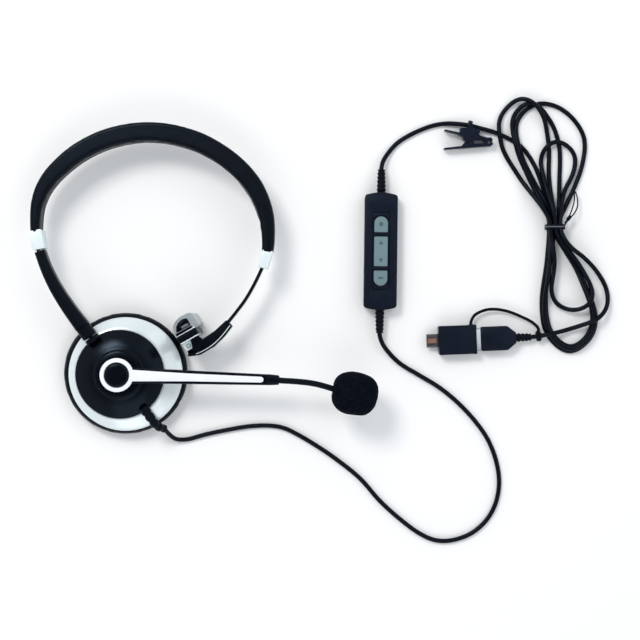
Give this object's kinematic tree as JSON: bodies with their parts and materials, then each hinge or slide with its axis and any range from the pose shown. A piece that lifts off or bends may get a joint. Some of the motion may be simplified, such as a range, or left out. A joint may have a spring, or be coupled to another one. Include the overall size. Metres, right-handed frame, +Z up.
{
  "type": "office headset",
  "caption": "Monaural office headset lying flat: ear cup, swivelling boom microphone, padded headband with temple rest, in-line controller, clothing clip and tied cord with USB plug.",
  "frame": {"origin": "middle of the headset's own footprint, without its cord, on the surface it lies on", "axes": "+Z up, away from the ear cushion's face; +X along the boom towards the microphone; +Y towards the crown of the headband"},
  "size_m": [0.3549, 0.2767, 0.042],
  "materials": {
    "leatherette": "matt black grained leatherette",
    "black_plastic": "satin black moulded plastic",
    "gloss_black": "glossy black moulded plastic",
    "silver": "satin silver paint on plastic",
    "steel": "brushed steel",
    "black_steel": "black coated spring steel",
    "silicone": "clear grey silicone",
    "rubber": "soft black rubber",
    "cord_jacket": "smooth black cord jacket",
    "foam": "open-cell black foam",
    "film": "thin clear film",
    "navy_plastic": "fine-textured dark navy plastic",
    "button_rubber": "grey-teal soft-touch rubber",
    "circuit_board": "green solder mask"
  },
  "bodies": {
    "root": {"ear_cushion": "leatherette", "speaker_grille": "black_plastic", "driver_body": "steel", "driver_diaphragm": "film", "baffle_plate": "black_plastic", "shell_screw_1": "steel", "shell_screw_2": "steel", "silver_shell": "silver", "dome": "gloss_black", "arm_swivel_pin": "steel", "cup_strain_relief": "rubber", "boom_pivot_post": "steel", "controller_base": "navy_plastic", "controller_cover": "navy_plastic", "controller_screw_1": "steel", "controller_screw_2": "steel", "controller_board": "circuit_board", "button_bezel": "black_plastic", "controller_relief_top": "rubber", "controller_relief_bottom": "rubber", "hank": "cord_jacket", "twist_tie": "black_plastic", "usb_overmould": "black_plastic", "usb_strain_relief": "rubber", "usb_shell": "steel", "usb_tongue": "black_plastic", "lower_lead": "cord_jacket", "upper_lead": "cord_jacket", "plug_lead": "cord_jacket", "tether_strap": "rubber", "tether_ring": "rubber"},
    "boom": {"boom_arm": "black_plastic", "boom_inlay": "silver", "pivot_cap": "gloss_black", "boom_end_collar": "black_plastic"},
    "neck": {"neck_base": "rubber"},
    "mic": {"neck_tip": "rubber", "foam_windscreen": "foam", "mic_housing": "black_plastic", "mic_capsule": "steel"},
    "arm": {"band_arm": "black_plastic", "adjuster_blade": "steel"},
    "band": {"headband_pad": "leatherette", "headband_spring": "black_steel", "clip_arm_side": "silver", "clip_temple_side": "silver", "temple_sleeve": "black_plastic", "temple_hinge_pin": "steel"},
    "tbar": {"temple_pad": "silicone", "crossbar": "black_plastic", "hinge_block": "silicone"},
    "top_key": {"button_top": "button_rubber"},
    "rocker": {"volume_rocker": "button_rubber"},
    "bottom_key": {"button_bottom": "button_rubber"},
    "clip": {"clip_jaw_fixed": "black_plastic", "clip_pin": "steel", "clip_spring": "steel"},
    "clip_lever": {"clip_jaw_moving": "black_plastic"},
    "adapter": {"adapter_body": "black_plastic", "adapter_c_plug": "steel"}
  },
  "joints": [
    {"name": "arm_swivel", "type": "hinge", "parent": "root", "child": "arm", "pos_m": [-0.0706, -0.0332, 0.021], "axis": [0.6011, -0.7992, 0], "range_deg": [-90, 90]},
    {"name": "band_extend", "type": "slide", "parent": "arm", "child": "band", "axis": [0, 1, 0], "range_m": [0, 0.02]},
    {"name": "temple_tilt", "type": "hinge", "parent": "band", "child": "tbar", "pos_m": [-0.0099, -0.0396, 0.021], "axis": [0, 0, 1], "range_deg": [-10, 10]},
    {"name": "boom_swivel", "type": "hinge", "parent": "root", "child": "boom", "pos_m": [-0.0526, -0.0571, 0.0262], "axis": [0, 0, 1], "range_deg": [-200, 8]},
    {"name": "neck_yaw", "type": "hinge", "parent": "boom", "child": "neck", "pos_m": [0.0466, -0.0605, 0.0284], "axis": [0, 0, 1], "range_deg": [-35, 35]},
    {"name": "neck_pitch", "type": "hinge", "parent": "neck", "child": "mic", "pos_m": [0.0618, -0.0617, 0.0284], "axis": [-0.0995, -0.995, 0], "range_deg": [-20, 30]},
    {"name": "top_button_press", "type": "slide", "parent": "root", "child": "top_key", "axis": [0, 0, -1], "range_m": [0, 0.0009], "stiffness_N_per_m": 400},
    {"name": "bottom_button_press", "type": "slide", "parent": "root", "child": "bottom_key", "axis": [0, 0, -1], "range_m": [0, 0.0009], "stiffness_N_per_m": 400},
    {"name": "volume_rock", "type": "hinge", "parent": "root", "child": "rocker", "pos_m": [0.1065, 0.0179, 0.0098], "axis": [0.9999, -0.0122, 0], "range_deg": [-3.5, 3.5], "stiffness_Nm_per_rad": 0.05},
    {"name": "clip_turn", "type": "hinge", "parent": "root", "child": "clip", "pos_m": [0.1616, 0.0959, 0.0042], "axis": [-0.9764, 0.2161, 0], "range_deg": [0, 90]},
    {"name": "clip_open", "type": "hinge", "parent": "clip", "child": "clip_lever", "pos_m": [0.1606, 0.0874, 0.004], "axis": [0, 0, -1], "range_deg": [0, 14], "stiffness_Nm_per_rad": 0.02},
    {"name": "adapter_pull", "type": "slide", "parent": "root", "child": "adapter", "axis": [-0.9993, -0.0384, 0], "range_m": [0, 0.012]}
  ]
}
